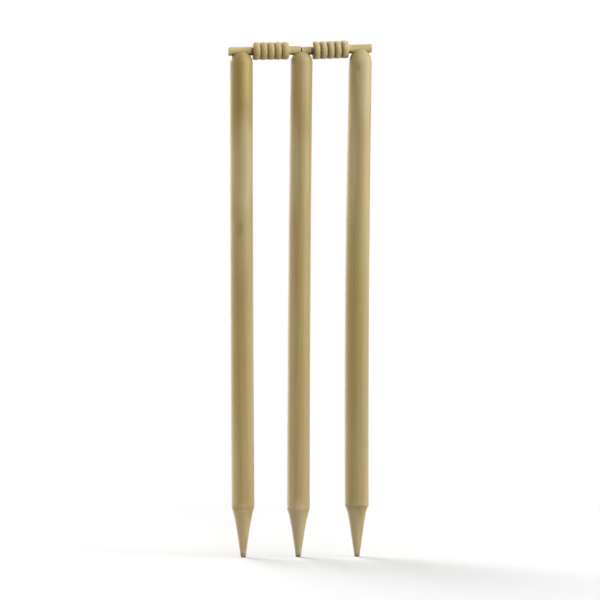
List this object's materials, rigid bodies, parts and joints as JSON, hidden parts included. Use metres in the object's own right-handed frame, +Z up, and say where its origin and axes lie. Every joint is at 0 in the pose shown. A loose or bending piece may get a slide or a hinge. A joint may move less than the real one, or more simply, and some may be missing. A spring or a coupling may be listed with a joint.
{
  "type": "cricket stumps",
  "caption": "Wicket of round wooden stumps with tapered points and grooved domed crowns, and turned beaded bails lying loose across the crowns.",
  "frame": {"origin": "middle of the flat end of the middle stump's point, on the plane that all the points stand on", "axes": "+Z up along the middle stump, +X along the row towards the right stump, -Y towards the front"},
  "size_m": [0.2185, 0.0366, 0.7789],
  "materials": {
    "stump_wood": "pale ash under a thin clear satin lacquer",
    "bail_wood": "pale turned hardwood under a thin clear satin lacquer"
  },
  "bodies": {
    "middle": {"middle_stump": "stump_wood"},
    "left": {"left_stump": "stump_wood"},
    "right": {"right_stump": "stump_wood"},
    "left_bail_body": {"left_bail": "bail_wood"},
    "right_bail_body": {"right_bail": "bail_wood"}
  },
  "joints": [
    {"name": "left_stump_lift", "type": "slide", "parent": "middle", "child": "left", "axis": [0, 0, 1], "range_m": [0, 0.076]},
    {"name": "right_stump_lift", "type": "slide", "parent": "middle", "child": "right", "axis": [0, 0, 1], "range_m": [0, 0.076]},
    {"name": "left_bail_lift", "type": "slide", "parent": "left", "child": "left_bail_body", "axis": [0, 0, 1], "range_m": [0, 0.03]},
    {"name": "right_bail_lift", "type": "slide", "parent": "right", "child": "right_bail_body", "axis": [0, 0, 1], "range_m": [0, 0.03]}
  ]
}
